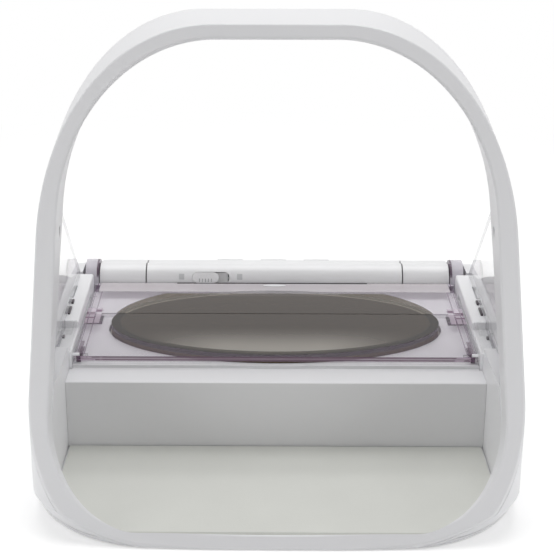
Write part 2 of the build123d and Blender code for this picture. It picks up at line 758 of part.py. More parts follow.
def make_lid_gear():
    """Sector gear on the lid axle; only the teeth that the lid's travel needs."""
    half_pitch = 180.0 / lid_gear_teeth
    wedge_low, wedge_high = mesh_angle - half_pitch, mesh_angle + 9 * half_pitch
    reach = 3 * lid_gear_tip
    wedge = [(0.0, 0.0)]
    for step in range(4):
        angle = math.radians(wedge_low + (wedge_high - wedge_low) * step / 3)
        wedge.append((reach * math.cos(angle), reach * math.sin(angle)))
    face = gear_face(lid_gear_teeth, mesh_angle) & make_face(Polyline(*wedge, close=True))
    face = face + Circle(5.5)
    solid = extrude(Plane.YZ * face, amount=gear_width)
    solid = Pos(gear_low_x, lid_axis_y, lid_axis_z) * solid
    return solid - rod(axle_radius + 0.02, 0, 60, lid_axis_y, lid_axis_z)


def make_pinion():
    """Pinion on the motor's shaft."""
    half_step = 180.0 / pinion_teeth
    face = gear_face(pinion_teeth, mesh_angle + 180 + half_step)
    solid = Pos(gear_low_x - 1, pinion_y, pinion_z) * extrude(Plane.YZ * face, amount=gear_width + 2)
    return solid - rod(1.5 + 0.01, 0, 60, pinion_y, pinion_z)


def make_motor_shaft():
    """Output shaft of the gear motor."""
    return rod(1.5, 21.2, gear_low_x + gear_width + 1, pinion_y, pinion_z)


def make_gear_motor():
    """Gear motor: can, gearbox and end cap."""
    form = rod(motor_radius, 2, 21, pinion_y, pinion_z) + rod(8.2, -16, 2, pinion_y, pinion_z)
    form += rod(3.0, -18, -15, pinion_y, pinion_z) + rod(3.5, 21, 23, pinion_y, pinion_z)
    return form - rod(1.5 + running_gap, 18, 24, pinion_y, pinion_z)


def make_motor_bracket():
    """Bracket that holds the gear motor on the underside pan."""
    foot_z = underside_z + wall + 0.05
    form = block(21.05, 23.0, pinion_y - 12, pinion_y + 12, foot_z, pinion_z + 9)
    form += block(10, 23.0, pinion_y - 12, pinion_y + 12, foot_z, foot_z + 2)
    form -= rod(3.52, 15, 30, pinion_y, pinion_z)
    return form


def make_axle():
    """Steel axle through the bar, from lug to lug."""
    return rod(axle_radius, -lug_outer_x + 0.6, lug_outer_x - 0.6, lid_axis_y, lid_axis_z)


# ---------------------------------------------------------------- electronics and buttons
def make_button(x):
    """Push button in the roof, with a flange that keeps it in."""
    cap = on_roof(x, button_y) * Pos(0, 0, -1.2) * rounded_block(16.0, 9.0, 2.0, 5.4)
    flange = on_roof(x, button_y) * Pos(0, 0, -3.7) * rounded_block(18.4, 11.4, 2.5, 1.0)
    return cap + flange


def make_circuit_board():
    """Control board under the sloping roof."""
    form = on_roof(0, button_y) * Pos(0, 2, -9.2) * Box(76, 46, 1.6)
    for x in (-20, 18):
        form += on_roof(x, button_y) * Pos(0, -14, -7.5) * Box(12, 9, 2.2)
    return form


def make_button_switches():
    """Tactile switches on the board, one under each button."""
    switches = [on_roof(x, button_y) * Pos(0, 0, -7.3) * Box(6, 6, 2.1) for x in button_x]
    return Compound(switches)


def make_cell(side, row):
    """C cell lying across the feeder, with its raised contact."""
    low, high = bay_low_x + 2.0, bay_low_x + 2.0 + cell_length - 1.5
    y = bay_low_y + 0.4 + cell_radius + row * (2 * cell_radius + 0.8)
    z = cell_floor_z + cell_radius
    form = rod(cell_radius, low, high, y, z) + rod(3.0, high - 0.5, high + 1.5, y, z)
    return form if side > 0 else mirrored(form)


def make_contacts():
    """Contact plates at the ends of the cells."""
    plates = []
    for side in (-1, 1):
        for row in (0, 1):
            y = bay_low_y + 0.4 + cell_radius + row * (2 * cell_radius + 0.8)
            z = cell_floor_z + cell_radius
            for low, high in ((bay_low_x, bay_low_x + 0.5), (bay_high_x - 0.5, bay_high_x)):
                plates.append(block(*sorted((side * low, side * high)), y - 6, y + 6, z - 7, z + 7))
    return Compound(plates)


pieces = {
    "housing": make_housing(),
    "hoop_back_cover": make_hoop_back_cover(),
    "antenna_coil": make_antenna_coil(),
    "bottom_cover": make_bottom_cover(),
    "bowl_deck": make_bowl_deck(),
    "food_bowl": make_bowl(),
    "feeding_mat": make_mat(),
    "rubber_feet": make_feet(),
    "case_screws": make_screws(),
    "bar_cover": make_bar_cover(),
    "delay_slider": make_slider(),
    "slide_switch": make_slide_switch(),
    "lid_rear_panel": make_lid_rear(),
    "lid_front_panel": make_lid_front(),
    "lid_rear_seal": make_seal(False),
    "lid_front_seal": make_seal(True),
    "lid_rear_window": make_window(False),
    "lid_front_window": make_window(True),
    "fold_pins": make_fold_pins(),
    "guide_pins": make_guide_pins(),
    "lid_axle": make_axle(),
    "lid_gear": make_lid_gear(),
    "drive_pinion": make_pinion(),
    "motor_shaft": make_motor_shaft(),
    "gear_motor": make_gear_motor(),
    "motor_bracket": make_motor_bracket(),
    "circuit_board": make_circuit_board(),
    "button_switches": make_button_switches(),
    "battery_contacts": make_contacts(),
}
for name, side in (("left", -1), ("right", 1)):
    pieces["side_wing_" + name] = make_wing(side)
    pieces["arm_cover_" + name] = make_arm_cover(side)
    pieces["bar_end_" + name] = make_bar_end(side)
    pieces["axle_bushing_" + name] = make_bushing(side)
    pieces["battery_cover_" + name] = make_battery_cover(side)
    for row, place in enumerate(("front", "rear")):
        pieces["cell_" + name + "_" + place] = make_cell(side, row)
for name, x in zip(("left", "middle", "right"), button_x):
    pieces["button_" + name] = make_button(x)

os.makedirs("parts", exist_ok=True)
for name, piece in pieces.items():
    export_step(piece, "parts/" + name + ".step")
print(len(pieces), "pieces")
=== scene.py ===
# %% [markdown]
# # Dressing a microchip pet feeder
# The feeder's hard pieces come ready made as a fixed frame: shell, hoop, folding lid, drive and batteries.
# This lesson gives them their finishes, adds the small trim that is easier to shape here, and lights the
# whole like a product on a white table. Everything is in metres, in the frame's own axes: +X to the
# right seen from the front, +Y to the rear, +Z up, with the ground at zero.

# %% Tools and frame
import json
import math

import bpy
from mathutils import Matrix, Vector


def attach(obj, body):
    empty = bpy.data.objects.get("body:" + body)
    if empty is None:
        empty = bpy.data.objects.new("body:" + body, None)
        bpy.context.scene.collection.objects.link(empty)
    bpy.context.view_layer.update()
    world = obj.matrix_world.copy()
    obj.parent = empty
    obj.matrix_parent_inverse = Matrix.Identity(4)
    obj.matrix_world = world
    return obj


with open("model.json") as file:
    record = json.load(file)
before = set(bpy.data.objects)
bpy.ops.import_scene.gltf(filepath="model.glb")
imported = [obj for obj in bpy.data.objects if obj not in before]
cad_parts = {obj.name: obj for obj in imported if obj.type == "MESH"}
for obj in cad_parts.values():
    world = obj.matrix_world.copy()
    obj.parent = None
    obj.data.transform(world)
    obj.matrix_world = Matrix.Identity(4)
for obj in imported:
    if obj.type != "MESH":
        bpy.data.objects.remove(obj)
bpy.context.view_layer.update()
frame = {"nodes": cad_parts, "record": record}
nodes = frame["nodes"]
MM = 0.001

# %% [markdown]
# ## Writing shaders as arithmetic
# A material's pattern is a small formula, so it reads best as one. This class wraps one output socket:
# adding or multiplying two wrapped sockets adds the Math node that does it, and every other node comes
# from one method that takes the node's type, its settings and what goes into its sockets.

# %% Shader wiring


class Wire:
    """One output socket of a material, with arithmetic on it."""

    def __init__(self, tree, socket=None):
        self.tree = tree
        self.socket = socket

    def node(self, kind, settings=None, sockets=None, out=0):
        """Adds a node: first its settings, then the values or links of its sockets."""
        made = self.tree.nodes.new(kind)
        for name, value in (settings or {}).items():
            if name == "stops":
                ramp = made.color_ramp
                while len(ramp.elements) < len(value):
                    ramp.elements.new(1.0)
                for element, (place, shade) in zip(ramp.elements, value):
                    element.position = place
                    element.color = shade
            else:
                setattr(made, name, value)
        for name, value in (sockets or {}).items():
            if isinstance(value, Wire):
                self.tree.links.new(value.socket, made.inputs[name])
            else:
                made.inputs[name].default_value = value
        return Wire(self.tree, made.outputs[out] if made.outputs else None)

    def maths(self, operation, first, second=0.0, clamp=False):
        settings = {"operation": operation, "use_clamp": clamp}
        return self.node("ShaderNodeMath", settings, {0: first, 1: second})

    def __add__(self, other):
        return self.maths("ADD", self, other)

    __radd__ = __add__

    def __sub__(self, other):
        return self.maths("SUBTRACT", self, other)

    def __rsub__(self, other):
        return self.maths("SUBTRACT", other, self)

    def __mul__(self, other):
        return self.maths("MULTIPLY", self, other)

    __rmul__ = __mul__

    def __truediv__(self, other):
        return self.maths("DIVIDE", self, other)

    def above(self, level, softness):
        """0 below a level and 1 above it, with a soft step."""
        sockets = {"Value": self, "From Min": level - softness, "From Max": level + softness}
        return self.node("ShaderNodeMapRange", {"interpolation_type": "SMOOTHSTEP"}, sockets)

    def between(self, low, high, softness):
        """1 inside a band and 0 outside it."""
        return self.above(low, softness) - self.above(high, softness)

    def blend(self, low, high):
        """Colour that goes from low to high as this value goes from 0 to 1; either may be a wire."""
        settings = {"data_type": "RGBA"}
        return self.node("ShaderNodeMix", settings, {"Factor": self, 6: low, 7: high}, out=2)

    def size(self):
        """The value without its sign."""
        return self.maths("ABSOLUTE", self)


def rgb(red, green, blue):
    """Colour from 0-255 screen values."""
    def linear(value):
        value = value / 255
        return value / 12.92 if value <= 0.04045 else ((value + 0.055) / 1.055) ** 2.4
    return (linear(red), linear(green), linear(blue), 1.0)


def start_material(name):
    """A new material with an empty node tree. Returns it with a wire to build on."""
    material = bpy.data.materials.new(name)
    material.use_nodes = True
    material.node_tree.nodes.clear()
    return material, Wire(material.node_tree)


def end_material(material, surface):
    """Connects the shader to the material's output."""
    surface.node("ShaderNodeOutputMaterial", None, {"Surface": surface})
    return material


def object_place(wire):
    """X, Y and Z of a point in the frame's axes."""
    place = wire.node("ShaderNodeTexCoord", out=3)
    return place, [wire.node("ShaderNodeSeparateXYZ", None, {0: place}, out=axis) for axis in range(3)]


def noise(wire, place, scale, detail=3.0, rough=0.5):
    sockets = {"Vector": place, "Scale": scale, "Detail": detail, "Roughness": rough}
    return wire.node("ShaderNodeTexNoise", None, sockets)


def bump(wire, height, distance, strength=1.0):
    return wire.node("ShaderNodeBump", None, {"Height": height, "Distance": distance, "Strength": strength})


print("shader helper ready")

# %% [markdown]
# ## Moulded plastic
# The shell is white ABS with a satin tool finish: almost even in colour, with a very fine grain that
# softens its highlights. Two noises do it, a broad one that moves colour and gloss by a percent or two
# and a fine one that only feeds the bump.

# %% Opaque plastics


def plastic(name, colour, roughness, grain=0.00002, variation=0.03, coat=0.0):
    """Satin moulded plastic with a fine tool grain."""
    material, wire = start_material(name)
    place, _ = object_place(wire)
    broad = noise(wire, place, 14.0, 2.0)
    fine = noise(wire, place, 1800.0, 2.0)
    dark = tuple(channel * (1 - variation) for channel in colour[:3]) + (1.0,)
    sockets = {
        "Base Color": broad.blend(dark, colour),
        "Roughness": broad * 0.08 + (roughness - 0.04),
        "Normal": bump(wire, fine, grain),
        "Coat Weight": coat,
        "IOR": 1.46,
    }
    return end_material(material, wire.node("ShaderNodeBsdfPrincipled", None, sockets))


white_shell = plastic("white_shell", rgb(238, 238, 240), 0.36)
grey_button = plastic("grey_button", rgb(236, 236, 238), 0.45)
bowl_plastic = plastic("bowl_plastic", rgb(196, 192, 184), 0.38)
black_plastic = plastic("black_plastic", rgb(34, 34, 36), 0.5)
# a lighter copy of the shell's white: on the arm covers it is painted light that lifts the shade in their grooves
white_with_painted_light = plastic("white_with_painted_light", rgb(247, 247, 249), 0.32)
clip_plastic = plastic("clip_plastic", rgb(58, 47, 56), 0.3)
# the switch is white, and painted lighter than the shell as painted light that lifts the shade the bar casts on it
switch_white_with_painted_light = plastic("switch_white_with_painted_light", rgb(250, 250, 250), 0.4)
acetal = plastic("acetal", rgb(226, 224, 214), 0.4)
print("plastics:", [m.name for m in bpy.data.materials if m.users == 0])

# %% [markdown]
# The deck round the bowl is one moulding with two textures: its top is polished, so that it wipes clean,
# and its upright wall has the duller texture of a deep mould. The wall is also painted darker than the
# top, as painted shade. The face normal tells them apart.

# %% Deck


def plastic_with_painted_shade_wall(name, shaded_wall_colour, lit_top_colour):
    material, wire = start_material(name)
    place, _ = object_place(wire)
    normal = wire.node("ShaderNodeNewGeometry", out=1)
    top = wire.node("ShaderNodeSeparateXYZ", None, {0: normal}, out=2).above(0.6, 0.2)
    broad = noise(wire, place, 14.0, 2.0)
    fine = noise(wire, place, 1300.0, 2.0)
    # painted shade: the upright wall takes the darker colour and the top the lighter one
    sockets = {
        "Base Color": top.blend(shaded_wall_colour, lit_top_colour),
        "Roughness": broad * 0.08 + 0.52 - top * 0.2,
        "Normal": bump(wire, fine, 0.00003),
        "IOR": 1.46,
    }
    return end_material(material, wire.node("ShaderNodeBsdfPrincipled", None, sockets))


deck_plastic = plastic_with_painted_shade_wall("deck_plastic", rgb(224, 224, 225), rgb(247, 247, 249))
print("deck has two textures")

# %% [markdown]
# The middle of the bar has a small plain grey square printed at each end of the slider. A mask on the
# object's own X and Z draws them: two bands in X, cut to a band in Z on the side that faces forwards.
# A third band darkens both of its rims, where shadow gathers in the seams to the bar's ends.

# %% Bar with its two printed squares


def printed_bar(name):
    material, wire = start_material(name)
    place, (x, y, z) = object_place(wire)
    broad = noise(wire, place, 14.0, 2.0)
    fine = noise(wire, place, 1800.0, 2.0)
    pale = broad.blend(rgb(244, 244, 245), rgb(250, 250, 251))
    columns = x.between(-0.0545, -0.0515, 0.0002) + x.between(-0.0213, -0.0183, 0.0002)
    rows = z.between(0.0522, 0.0552, 0.0002) * (1.0 - y.above(0.052, 0.0005))
    square = columns * rows * 0.55
    seam = x.size().between(0.0729, 0.0737, 0.00005)
    marked = square.blend(pale, rgb(172, 174, 176))
    sockets = {
        "Base Color": (seam * 0.85).blend(marked, rgb(88, 84, 88)),
        "Roughness": broad * 0.08 + 0.26,
        "Normal": bump(wire, fine, 0.00002),
        "IOR": 1.46,
    }
    return end_material(material, wire.node("ShaderNodeBsdfPrincipled", None, sockets))


white_bar = printed_bar("white_bar")
print("bar marks: two squares of 3 mm")

# %% [markdown]
# The slider's thumb has six grooves. They are cut in its solid, and a band of painted shade on five of
# them makes them read at a distance, as the dust and shadow in them do.

# %% Slider thumb


def grooved_thumb(name):
    material, wire = start_material(name)
    place, (x, y, z) = object_place(wire)
    fine = noise(wire, place, 1800.0, 2.0)
    pitch = 0.0017
    step = wire.maths("PINGPONG", x + 0.0393, pitch / 2)
    groove = (1.0 - step.above(0.00022, 0.00010)) * (1.0 - (x + 0.0393).size().above(0.0046, 0.0001))
    low = z.between(0.0510, 0.0530, 0.0002)
    sockets = {
        "Base Color": (groove * low * 0.7).blend(rgb(249, 249, 250), rgb(120, 120, 122)),
        "Roughness": 0.34,
        "Normal": bump(wire, fine, 0.00002),
        "IOR": 1.46,
    }
    return end_material(material, wire.node("ShaderNodeBsdfPrincipled", None, sockets))


thumb_plastic = grooved_thumb("thumb_plastic")
print("thumb grooves every 1.7 mm")

# %% [markdown]
# ## Clear polycarbonate
# A clear sheet shows little on its face and a lot on its edge, where light that has travelled inside it
# comes out with a violet tint. The face normal tells them apart: it points up on the faces and
# sideways on the edges. A Fresnel mix adds the mirror gloss on top.

# %% Clear plastics


def glossy_over(wire, body, roughness, index):
    """A mirror gloss on the outer side of a surface, stronger at a grazing angle."""
    gloss = wire.node("ShaderNodeBsdfGlossy", None, {"Color": (1, 1, 1, 1), "Roughness": roughness})
    inner_side = wire.node("ShaderNodeNewGeometry", out=6)
    mirror = wire.node("ShaderNodeFresnel", None, {"IOR": index}) * (1.0 - inner_side)
    return wire.node("ShaderNodeMixShader", None, {0: mirror, 1: body, 2: gloss})


def clear_shield(name):
    """Clear upright sheet: nearly invisible on its faces, with a grey line along its edges."""
    material, wire = start_material(name)
    place, (x, y, z) = object_place(wire)
    normal = wire.node("ShaderNodeNewGeometry", out=1)
    across = wire.node("ShaderNodeSeparateXYZ", None, {0: normal}, out=0)
    rim = (1.0 - across.size().above(0.75, 0.12)) * x.size().above(0.1094, 0.0001)
    cloud = noise(wire, place, 30.0, 2.0)
    sockets = {
        "Base Color": rim.blend(rgb(240, 240, 243), rgb(186, 184, 190)),
        "Alpha": rim * 0.30 + 0.04 + cloud * 0.06,
        "Roughness": 0.12,
        "Specular IOR Level": 0.0,
    }
    body = wire.node("ShaderNodeBsdfPrincipled", None, sockets)
    return end_material(material, glossy_over(wire, body, 0.04, 1.22))


clear_wing = clear_shield("clear_wing")
print("clear plastics ready")

# %% [markdown]
# Window, seal and lid share one oval. The square root of x squared over one half-axis and y over the
# other is 1 on the oval and grows outwards, so an inset or a wider oval is one more call.

# %% The oval
OVAL_Y = -0.013
OVAL_X_HALF, OVAL_Y_HALF = 0.0873, 0.044
SEAL_WIDTH = 0.004
BAND_X_HALF, BAND_Y_HALF = 0.0875, 0.0555
BAND_BACK = 0.0268
FOLD_Y = -0.0027


def oval_level(wire, x, y, x_half, y_half):
    """1 on an oval round the window's centre, less inside it and more outside."""
    across = x * (1 / x_half)
    along = (y - OVAL_Y) * (1 / y_half)
    return wire.maths("SQRT", across * across + along * along)


def seal_band(wire, x, y):
    """The seal's inner wall seen through the rear half: a fuller oval with a straight back."""
    inside = 1.0 - oval_level(wire, x, y, BAND_X_HALF, BAND_Y_HALF).above(1.0, 0.006)
    return inside * y.between(FOLD_Y, BAND_BACK, 0.0003)


print("window", OVAL_X_HALF * 2 / MM, "by", OVAL_Y_HALF * 2 / MM, "mm")

# %% [markdown]
# The lid is the same plastic in a thicker piece, so its edges are stronger: its front edge shows as two
# dark violet lines with a paler one between them, its corner shoes and fold knuckles are violet, and
# its long side edges are only outlined. Each of these is a band in the object's own coordinates.

# %% Lid plastic


def lid_plastic(name):
    material, wire = start_material(name)
    place, (x, y, z) = object_place(wire)
    normal = wire.node("ShaderNodeNewGeometry", out=1)
    up = wire.node("ShaderNodeSeparateXYZ", None, {0: normal}, out=2).size()
    cloud = noise(wire, place, 30.0, 2.0)
    face = up.above(0.75, 0.12)
    side = x.size()
    lug = side.above(0.0992, 0.0002) * y.above(0.0388, 0.0004)
    # plain sheet, with a line along the top and the foot of its edges
    rear = y.above(0.0292, 0.0004)
    fold = (y - FOLD_Y).size()
    joint = (1.0 - fold.above(0.0075, 0.0003)) * side.above(0.0938, 0.0002)
    outline = (z.above(0.0501, 0.0001) + (1.0 - z.above(0.0478, 0.0001))) * (1.0 - face)
    outline = outline * (1.0 - wire.maths("MAXIMUM", rear, joint))
    colour = face.blend(rgb(188, 178, 192), rgb(148, 112, 154))
    colour = outline.blend(colour, rgb(112, 94, 112))
    alpha = face * -0.07 + 0.13 + outline * 0.36 + cloud * 0.05
    # two dark lines along the front edge, broken near the corners
    front = 1.0 - y.above(-0.0592, 0.0001)
    lines = z.between(0.0497, 0.0510, 0.0001) + z.between(0.0483, 0.0490, 0.0001)
    broken = side.above(0.0880, 0.0010) * noise(wire, place, 260.0).above(0.50, 0.04)
    foot = 1.0 - z.above(0.0481, 0.0002)
    colour = front.blend(colour, lines.blend(rgb(178, 160, 174), broken.blend(rgb(122, 102, 116), rgb(182, 164, 180))))
    corner = side.above(0.1004, 0.0001)
    alpha = alpha * (1.0 - front) + front * (lines * 0.25 + 0.65) * (1.0 - foot * 0.85) * (1.0 - corner * 0.7)
    # knuckles of the fold: frosted, with violet bars where the pin's seats show through; the top face over them is
    # painted pale, painted light that lifts the shade of the pocket in the deck below
    knuckle = joint * (1.0 - z.above(0.0492, 0.0003))
    seats = side.above(0.0972, 0.0002) * ((1.0 - fold.above(0.0016, 0.0003)) + y.between(-0.0094, -0.0080, 0.0003))
    seats = seats + side.between(0.0932, 0.0972, 0.0002) * y.between(-0.0008, 0.0024, 0.0003)
    seats = seats * face
    # painted light: a pale patch on the top face over the knuckles
    over = y.between(-0.0165, 0.0050, 0.0003) * side.above(0.0938, 0.0002) * face * z.above(0.0492, 0.0003)
    colour = wire.maths("MAXIMUM", knuckle, over).blend(colour, rgb(220, 203, 219))
    colour = seats.blend(colour, rgb(112, 74, 104))
    alpha = wire.maths("MAXIMUM", alpha, wire.maths("MAXIMUM", knuckle * 0.08, over * 0.55 + seats * 0.3))
    # guide shoe at each front corner, and the inner flank of each end lug
    shoe = side.between(0.0984, 0.1006, 0.0001) * (1.0 - y.above(-0.0400, 0.0003))
    flank = lug * (1.0 - side.above(0.1014, 0.0002)) * z.above(0.0545, 0.0010)
    ribs = side.between(0.0966, 0.0973, 0.0001) + side.between(0.1000, 0.1005, 0.0001)
    ribs = ribs * face * z.above(0.0495, 0.0002)
    dark = wire.maths("MAXIMUM", shoe, flank)
    colour = lug.blend(colour, rgb(232, 228, 236))
    colour = ribs.blend(colour, rgb(138, 112, 138))
    alpha = wire.maths("MAXIMUM", alpha, ribs * 0.5)
    colour = dark.blend(colour, rgb(112, 92, 110))
    alpha = wire.maths("MAXIMUM", alpha, wire.maths("MAXIMUM", dark * 0.68, lug * 0.68))
    # the seal's inner wall shows through the rear half, and the strip behind it is painted pale, a painted reflection
    # of the bar that also lifts the shade on the sill below
    band = seal_band(wire, x, y) * face * z.above(0.0495, 0.0002)
    # painted reflection: the strip along the rear edge is painted pale
    strip = rear * (1.0 - lug) * (1.0 - side.above(0.0990, 0.0003)) * z.above(0.0485, 0.0005)
    colour = band.blend(colour, rgb(96, 86, 70))
    colour = strip.blend(colour, rgb(224, 218, 222))
    alpha = wire.maths("MAXIMUM", alpha, wire.maths("MAXIMUM", band * 0.85, strip * 0.72))
    sockets = {"Base Color": colour, "Alpha": alpha, "Roughness": 0.1, "Specular IOR Level": 0.0}
    body = wire.node("ShaderNodeBsdfPrincipled", None, sockets)
    return end_material(material, glossy_over(wire, body, 0.03, 1.2))


clear_lid = lid_plastic("clear_lid")
print("lid plastic ready")

# %% [markdown]
# The smoky window is a tinted plate with a shallow step 4 mm inside its rim, where it sits on the seal.
# The step is a bump on the oval drawn in, with a dark line along it in the front half and a painted
# highlight along it in the rear half. Behind the seal the rim has only clear plastic under it, so it loses
# its tint there, and towards the front a patch of painted light makes the tint paler.

# %% Smoky window


def smoky(name):
    """Smoke-tinted acrylic."""
    material, wire = start_material(name)
    place, (x, y, z) = object_place(wire)
    cloud = noise(wire, place, 22.0, 2.0)
    step = oval_level(wire, x, y, OVAL_X_HALF - SEAL_WIDTH, OVAL_Y_HALF - SEAL_WIDTH)
    rim = step.above(1.0, 0.008)
    rear = y.above(FOLD_Y, 0.0003)
    clear = y.above(BAND_BACK, 0.0003)
    edge = 1.0 - z.above(0.0501, 0.0002)
    # painted light: towards the front the tint is painted paler
    pale = (1.0 - y.above(-0.036, 0.016)) * (1.0 - x.size().above(0.052, 0.030))
    tint = pale.blend(rgb(68, 54, 42), rgb(180, 174, 165))
    # a painted highlight along the step in the rear half, a dark line along it in the front half
    line = step.between(0.990, 1.012, 0.006)
    tint = rim.blend(tint, rear.blend(rgb(84, 72, 58), rgb(96, 86, 70)))
    tint = (line * 0.75).blend(tint, rear.blend(rgb(34, 27, 22), rgb(150, 142, 130)))
    near = oval_level(wire, x, y, OVAL_X_HALF, OVAL_Y_HALF).above(0.950, 0.008) * (1.0 - rear)
    tint = wire.maths("MAXIMUM", edge, near).blend(tint, rgb(32, 20, 10))
    tint = clear.blend(tint, rgb(214, 206, 214))
    sockets = {
        "Base Color": tint,
        "Alpha": (cloud * 0.04 + near * 0.16 + 0.76) * (1.0 - clear * 0.75),
        "Roughness": 0.2,
        "Normal": bump(wire, rim, 0.0004),
        "Specular IOR Level": 0.0,
    }
    body = wire.node("ShaderNodeBsdfPrincipled", None, sockets)
    return end_material(material, glossy_over(wire, body, 0.06, 1.33))


smoky_window = smoky("smoky_window")
print("window step at", SEAL_WIDTH / MM, "mm inside the rim")

# %% [markdown]
# ## Rubber, metal and the rest
# Silicone and rubber are rough with a powdery fine grain. The pins and plates are steel: drawn rods show
# fine lines round them, so their noise is stretched along the rod.

# %% Rubbers and metals


def rubber(name, colour, roughness=0.75, grain=0.00006):
    material, wire = start_material(name)
    place, _ = object_place(wire)
    broad = noise(wire, place, 25.0)
    fine = noise(wire, place, 1400.0)
    dark = tuple(channel * 0.9 for channel in colour[:3]) + (1.0,)
    sockets = {
        "Base Color": broad.blend(dark, colour),
        "Roughness": broad * 0.1 + (roughness - 0.05),
        "Normal": bump(wire, fine, grain),
    }
    return end_material(material, wire.node("ShaderNodeBsdfPrincipled", None, sockets))


def metal(name, colour, roughness, stretch=(1.0, 1.0, 1.0)):
    material, wire = start_material(name)
    place, _ = object_place(wire)
    drawn = wire.node("ShaderNodeMapping", None, {"Vector": place, "Scale": stretch})
    lines = noise(wire, drawn, 500.0)
    sockets = {
        "Base Color": lines.blend(tuple(c * 0.88 for c in colour[:3]) + (1.0,), colour),
        "Metallic": 1.0,
        "Roughness": lines * 0.12 + (roughness - 0.06),
        "Normal": bump(wire, lines, 0.00002),
    }
    return end_material(material, wire.node("ShaderNodeBsdfPrincipled", None, sockets))


mat_silicone = rubber("mat_silicone", rgb(230, 231, 225), 0.62)
foot_rubber = rubber("foot_rubber", rgb(40, 40, 41))
zinc_steel = metal("zinc_steel", rgb(186, 186, 184), 0.34)
pin_steel = metal("pin_steel", rgb(196, 197, 199), 0.22, (0.05, 1.0, 1.0))
copper_wire = metal("copper_wire", rgb(188, 112, 66), 0.3)
board_green = plastic("board_green", rgb(28, 96, 58), 0.4)
cell_wrap = plastic("cell_wrap", rgb(60, 66, 78), 0.3)
print("rubbers and metals ready")

# %% [markdown]
# The seal is a taupe silicone ring with a darker lip along its top and its bottom edge, and a steel axle
# carries pale nylon sleeves where it turns in the lid's lugs. Both are a change of colour at a place.

# %% Seal and axle


def lipped_seal(name):
    material, wire = start_material(name)
    place, (x, y, z) = object_place(wire)
    fine = noise(wire, place, 1400.0)
    lips = wire.maths("MAXIMUM", 1.0 - z.above(0.0453, 0.0002), z.above(0.0482, 0.0002))
    sockets = {
        "Base Color": lips.blend(rgb(92, 79, 34), rgb(24, 19, 10)),
        "Roughness": lips * 0.1 + 0.42,
        "Normal": bump(wire, fine, 0.00005),
    }
    return end_material(material, wire.node("ShaderNodeBsdfPrincipled", None, sockets))


def sleeved_axle(name):
    material, wire = start_material(name)
    place, (x, y, z) = object_place(wire)
    drawn = wire.node("ShaderNodeMapping", None, {"Vector": place, "Scale": (0.05, 1.0, 1.0)})
    lines = noise(wire, drawn, 500.0)
    sleeve = wire.maths("ABSOLUTE", x).above(0.0935, 0.0003)
    sockets = {
        "Base Color": sleeve.blend(rgb(196, 197, 199), rgb(234, 233, 230)),
        "Metallic": 1.0 - sleeve,
        "Roughness": sleeve * 0.2 + lines * 0.1 + 0.2,
        "Normal": bump(wire, lines, 0.00002),
    }
    return end_material(material, wire.node("ShaderNodeBsdfPrincipled", None, sockets))


seal_rubber = lipped_seal("seal_rubber")
axle_steel = sleeved_axle("axle_steel")
blued_steel = metal("blued_steel", rgb(104, 94, 106), 0.35, (0.05, 1.0, 1.0))
print("seal and axle ready")

# %% Finishes on the frame's pieces
finishes = {
    "white_shell": white_shell, "grey_button": grey_button, "copper_wire": copper_wire,
    "grey_bowl": bowl_plastic, "soft_mat": mat_silicone, "dark_rubber": foot_rubber,
    "zinc_steel": zinc_steel, "steel_pin": pin_steel, "black_plastic": black_plastic,
    "clear_lid": clear_lid, "clear_wing": clear_wing, "seal_rubber": seal_rubber,
    "smoky_window": smoky_window, "acetal": acetal, "board": board_green, "cell_wrap": cell_wrap,
}
special = {
    "bar_cover": white_bar, "delay_slider": thumb_plastic, "slide_switch": switch_white_with_painted_light,
    "lid_axle": axle_steel, "fold_pins": blued_steel, "guide_pins": white_with_painted_light,
    "bar_end_left": white_bar, "bar_end_right": white_bar, "bowl_deck": deck_plastic,
    "arm_cover_left": white_with_painted_light, "arm_cover_right": white_with_painted_light,
}
slots = {entry["node"]: entry["material_slot"] for entry in frame["record"]["subparts"]}
for name, node in nodes.items():
    node.data.materials.clear()
    node.data.materials.append(special.get(name, finishes[slots[name]]))
print("dressed", len(nodes), "pieces")

# %% [markdown]
# ## Small trim
# Five kinds of small piece are easier to shape here than as solids: the white sill that closes the gap
# between the deck and the bar, a dark strip of painted shadow in the gap behind the lid, a small white
# pad on the lid, the bright bead along the deck's front step and the dark clips of the side shields.
# Each starts as a primitive at its place, is rounded by an applied Bevel modifier, and rides on its body.

# %% Helpers for modelling


def primitive(name, add, **settings):
    """Adds a mesh primitive with nothing else selected."""
    bpy.ops.object.select_all(action="DESELECT")
    add(**settings)
    made = bpy.context.active_object
    made.name = name
    return made


def box_between(name, low, high):
    """Cube primitive stretched between two corners in millimetres."""
    made = primitive(name, bpy.ops.mesh.primitive_cube_add, size=1.0,
                     location=[(a + b) / 2 * MM for a, b in zip(low, high)])
    made.scale = [(b - a) * MM for a, b in zip(low, high)]
    return made


def settle(made, material, body, angle=40):
    """Puts the place into the mesh, shades it, and hands the piece to its body."""
    bpy.ops.object.transform_apply(location=True, rotation=True, scale=True)
    bpy.ops.object.shade_smooth_by_angle(angle=math.radians(angle))
    made.data.materials.clear()
    made.data.materials.append(material)
    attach(made, body)
    print(made.name, "on", body, [round(v / MM, 1) for v in made.dimensions], "mm")


def bevelled(made, width, segments=2):
    """Rounds all edges of the active piece with a Bevel modifier that is applied."""
    bpy.ops.object.transform_apply(location=True, rotation=True, scale=True)
    bevel = made.modifiers.new("round", "BEVEL")
    bevel.width = width * MM
    bevel.segments = segments
    bpy.ops.object.modifier_apply(modifier="round")


# %% Sill, painted shadow strip and bead
sill = box_between("rear_sill", (-98.0, 39.8, 46.52), (98.0, 43.6, 47.1))
bevelled(sill, 0.15)
settle(sill, white_shell, "feeder")

